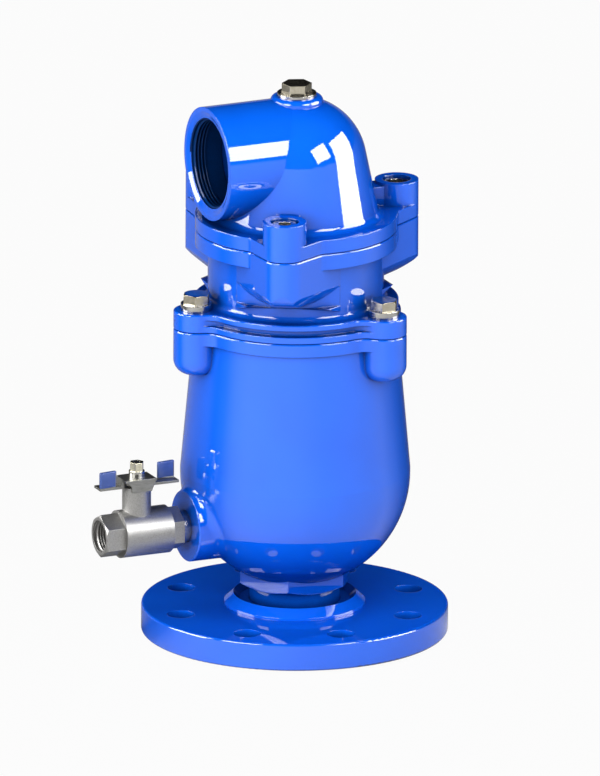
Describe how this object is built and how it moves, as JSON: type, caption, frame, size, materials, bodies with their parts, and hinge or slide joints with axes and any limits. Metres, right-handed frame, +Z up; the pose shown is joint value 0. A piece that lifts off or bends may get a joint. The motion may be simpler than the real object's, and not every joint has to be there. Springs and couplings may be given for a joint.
{
  "type": "air release valve",
  "caption": "Flanged float-operated air release valve in blue enamel, with a side outlet elbow on top and a small drain ball valve.",
  "frame": {"origin": "on the valve axis at the sealing face of the inlet flange", "axes": "+Z up along the valve axis; the outlet mouth and the drain valve face -X"},
  "size_m": [0.2416, 0.2, 0.3724],
  "materials": {
    "blue_enamel": "gloss",
    "stainless": "satin",
    "zinc_steel": "satin",
    "inner_steel": "satin",
    "bronze": "satin",
    "black_rubber": "matte",
    "white_plastic": "matte",
    "float_plastic": "satin",
    "blue_plastic": "satin"
  },
  "bodies": {
    "valve_body": {"inlet_flange": "blue_enamel", "lower_body": "blue_enamel", "casing": "blue_enamel", "outlet_cover": "blue_enamel", "body_washers": "stainless", "plug_washer": "stainless", "cover_screws": "stainless", "vent_plug": "stainless", "drain_nipple": "stainless", "ball_valve_body": "stainless", "ball_valve_end": "stainless", "gland_nut": "stainless", "body_bolts": "zinc_steel", "guide_spider": "inner_steel", "guide_bush": "bronze", "seat_ring": "bronze", "body_seal": "black_rubber", "cover_seal": "black_rubber", "ball_seats": "white_plastic", "stem_packing": "white_plastic"},
    "disc_set": {"closing_disc": "inner_steel", "disc_seal": "black_rubber", "cage_nut": "inner_steel", "nozzle": "inner_steel"},
    "float_set": {"float_rod": "inner_steel", "float": "float_plastic", "float_nuts": "inner_steel", "nozzle_seal": "black_rubber"},
    "handle_set": {"ball": "stainless", "valve_stem": "stainless", "handle": "stainless", "handle_grips": "blue_plastic", "handle_collar": "stainless", "handle_nut": "stainless"}
  },
  "joints": [
    {"name": "disc_lift", "type": "slide", "parent": "valve_body", "child": "disc_set", "axis": [0, 0, 1], "range_m": [0, 0.014]},
    {"name": "float_lift", "type": "slide", "parent": "disc_set", "child": "float_set", "axis": [0, 0, 1], "range_m": [0, 0.004]},
    {"name": "handle_turn", "type": "hinge", "parent": "valve_body", "child": "handle_set", "pos_m": [-0.113, 0, 0.0804], "axis": [0, 0, 1], "range_deg": [-90, 0]}
  ]
}
